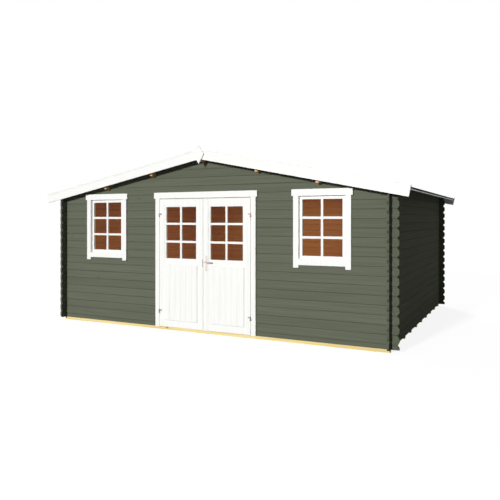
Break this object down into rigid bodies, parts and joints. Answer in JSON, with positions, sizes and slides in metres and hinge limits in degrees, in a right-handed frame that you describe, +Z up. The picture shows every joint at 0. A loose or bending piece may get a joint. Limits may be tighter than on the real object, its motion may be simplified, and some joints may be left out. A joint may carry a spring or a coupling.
{
  "type": "log cabin",
  "caption": "Small garden log cabin with interlocking corners, low gable roof, glazed double door and fixed windows with white trims",
  "frame": {"origin": "on the ground at the middle of the plan", "axes": "+X to the right along the front, +Y from the front wall to the back wall, +Z up"},
  "size_m": [5.642, 4.172, 2.57],
  "materials": {
    "painted_logs": "grey-green opaque wood paint",
    "white_paint": "white satin wood paint",
    "pale_beam": "bare treated softwood",
    "floor_wood": "bare planed softwood",
    "roof_wood": "bare planed softwood boards",
    "purlin_wood": "bare planed softwood",
    "roof_felt": "mineral bitumen felt",
    "clear_glass": "clear float glass",
    "hinge_metal": "zinc-plated steel",
    "handle_metal": "satin nickel-plated steel"
  },
  "bodies": {
    "cabin": {"foundation_beams": "pale_beam", "floor_boards": "floor_wood", "front_wall_left": "painted_logs", "front_wall_right": "painted_logs", "front_gable": "painted_logs", "back_wall": "painted_logs", "back_gable": "painted_logs", "left_wall": "painted_logs", "right_wall": "painted_logs", "ridge_purlin": "purlin_wood", "side_purlins": "purlin_wood", "roof_boards_left": "roof_wood", "roof_boards_right": "roof_wood", "roof_felt_left": "roof_felt", "roof_felt_right": "roof_felt", "eave_strip_left": "white_paint", "eave_strip_right": "white_paint", "barge_boards_front": "white_paint", "barge_boards_back": "white_paint", "cover_laths_front": "white_paint", "cover_laths_back": "white_paint", "ridge_plate_front": "white_paint", "ridge_plate_back": "white_paint", "door_frame": "white_paint", "threshold": "floor_wood", "door_trim": "white_paint", "hinge_pins": "hinge_metal", "window_trim_left": "white_paint", "window_trim_right": "white_paint", "window_frame_left": "white_paint", "window_frame_right": "white_paint", "window_sash_left": "white_paint", "window_sash_right": "white_paint", "window_glass_left": "clear_glass", "window_glass_right": "clear_glass"},
    "left_door": {"left_door_frame": "white_paint", "left_door_panel": "white_paint", "left_door_glass": "clear_glass", "left_door_hinges": "hinge_metal"},
    "right_door": {"right_door_frame": "white_paint", "right_door_panel": "white_paint", "right_door_glass": "clear_glass", "right_door_hinges": "hinge_metal", "lock_plates": "handle_metal"},
    "lever": {"lever_handle": "handle_metal"}
  },
  "joints": [
    {"name": "left_door_swing", "type": "hinge", "parent": "cabin", "child": "left_door", "pos_m": [-0.7285, -1.977, 0.95], "axis": [0, 0, -1], "range_deg": [0, 170]},
    {"name": "right_door_swing", "type": "hinge", "parent": "cabin", "child": "right_door", "pos_m": [0.7285, -1.977, 0.95], "axis": [0, 0, 1], "range_deg": [0, 170]},
    {"name": "lever_turn", "type": "hinge", "parent": "right_door", "child": "lever", "pos_m": [0.0525, -1.945, 0.985], "axis": [0, 1, 0], "range_deg": [0, 40], "stiffness_Nm_per_rad": 1.5, "springref_deg": -22.92}
  ]
}
